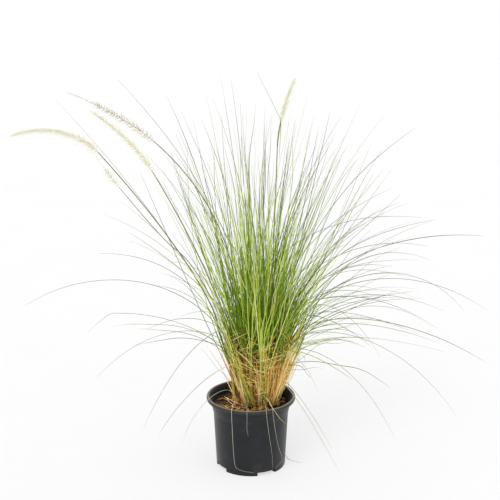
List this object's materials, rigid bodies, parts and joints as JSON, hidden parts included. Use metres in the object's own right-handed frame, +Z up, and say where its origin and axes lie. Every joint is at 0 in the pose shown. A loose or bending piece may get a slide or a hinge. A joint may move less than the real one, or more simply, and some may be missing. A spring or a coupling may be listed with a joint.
{
  "type": "potted fountain grass",
  "caption": "Potted fountain grass: a clump of fine arching blades with slender bottlebrush plumes, in a dark round nursery pot.",
  "frame": {"origin": "centre of the pot's flat underside, on the surface it stands on", "axes": "+Z up along the pot's axis, -Y towards the front as seen in the picture, +X to the picture's right"},
  "size_m": [0.9924, 0.7337, 0.8233],
  "materials": {
    "pot": "satin",
    "soil": "fibrous, matte",
    "blade": "satin leaf",
    "culm": "satin stem",
    "plume": "hairy, matte"
  },
  "bodies": {
    "root": {"nursery_pot": "pot", "potting_soil": "soil", "tuft_01": "blade", "tuft_02": "blade", "tuft_03": "blade", "tuft_04": "blade", "tuft_05": "blade", "tuft_06": "blade", "tuft_07": "blade", "tuft_08": "blade", "tuft_09": "blade", "tuft_10": "blade", "tuft_11": "blade", "tuft_12": "blade", "tuft_13": "blade", "tuft_14": "blade", "tuft_15": "blade", "tuft_16": "blade", "tuft_17": "blade", "tuft_18": "blade", "tuft_19": "blade", "tuft_20": "blade", "tuft_21": "blade", "tuft_22": "blade", "tuft_23": "blade", "culm_1": "culm", "culm_2": "culm", "culm_3": "culm", "culm_4": "culm", "plume_1": "plume", "plume_2": "plume", "plume_3": "plume", "plume_4": "plume"}
  },
  "joints": []
}
